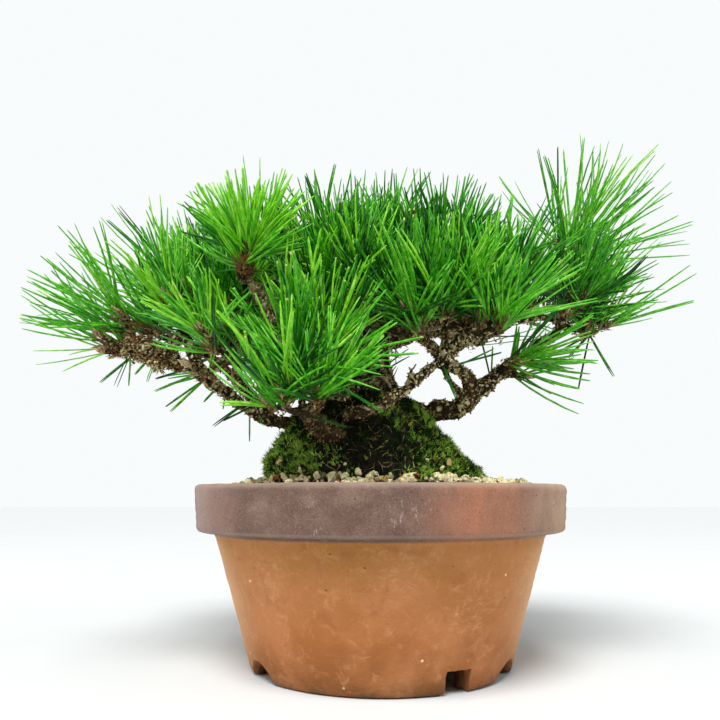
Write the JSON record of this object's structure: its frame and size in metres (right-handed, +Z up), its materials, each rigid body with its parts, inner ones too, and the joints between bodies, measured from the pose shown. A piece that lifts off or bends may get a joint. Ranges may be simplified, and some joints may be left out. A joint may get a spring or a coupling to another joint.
{
  "type": "potted bonsai pine",
  "caption": "Potted Japanese black pine bonsai: a short flared trunk on a mossy mound, spreading boughs and a wide, low crown of stiff needles, in a round terracotta training pot.",
  "frame": {"origin": "where the pot's axis meets the plane that its foot stands on", "axes": "+X to the viewer's right, along the crown's longest spread; +Z up; the front of the tree faces -Y"},
  "size_m": [0.2758, 0.1843, 0.2244],
  "materials": {
    "clay": "matt, unglazed, with a darker rim band",
    "soil": "loose pumice grains",
    "moss": "matt",
    "bark": "rough, flaking",
    "needles": "satin"
  },
  "bodies": {
    "root": {"bough_back": "bark", "bough_back_left": "bark", "bough_back_low": "bark", "bough_back_right": "bark", "bough_centre": "bark", "bough_crown_left": "bark", "bough_crown_right": "bark", "bough_fork": "bark", "bough_front": "bark", "bough_front_centre": "bark", "bough_left": "bark", "bough_left_back": "bark", "bough_left_centre": "bark", "bough_left_front": "bark", "bough_left_mid": "bark", "bough_left_top": "bark", "bough_mid": "bark", "bough_right": "bark", "bough_right_back": "bark", "bough_right_low": "bark", "bough_right_outer": "bark", "bough_right_top": "bark", "bough_right_upper": "bark", "bough_upper_left": "bark", "foliage_apex": "needles", "foliage_back": "needles", "foliage_back_left": "needles", "foliage_back_low": "needles", "foliage_back_right": "needles", "foliage_centre": "needles", "foliage_centre_front": "needles", "foliage_crown_left": "needles", "foliage_crown_right": "needles", "foliage_front_centre": "needles", "foliage_front_low": "needles", "foliage_front_right": "needles", "foliage_left_back": "needles", "foliage_left_centre": "needles", "foliage_left_front": "needles", "foliage_left_mid": "needles", "foliage_left_tip": "needles", "foliage_left_top": "needles", "foliage_right_back": "needles", "foliage_right_low": "needles", "foliage_right_mid": "needles", "foliage_right_top": "needles", "foliage_right_upper": "needles", "foliage_upper_left": "needles", "moss_mound": "moss", "pot": "clay", "soil": "soil", "trunk": "bark"}
  },
  "joints": []
}
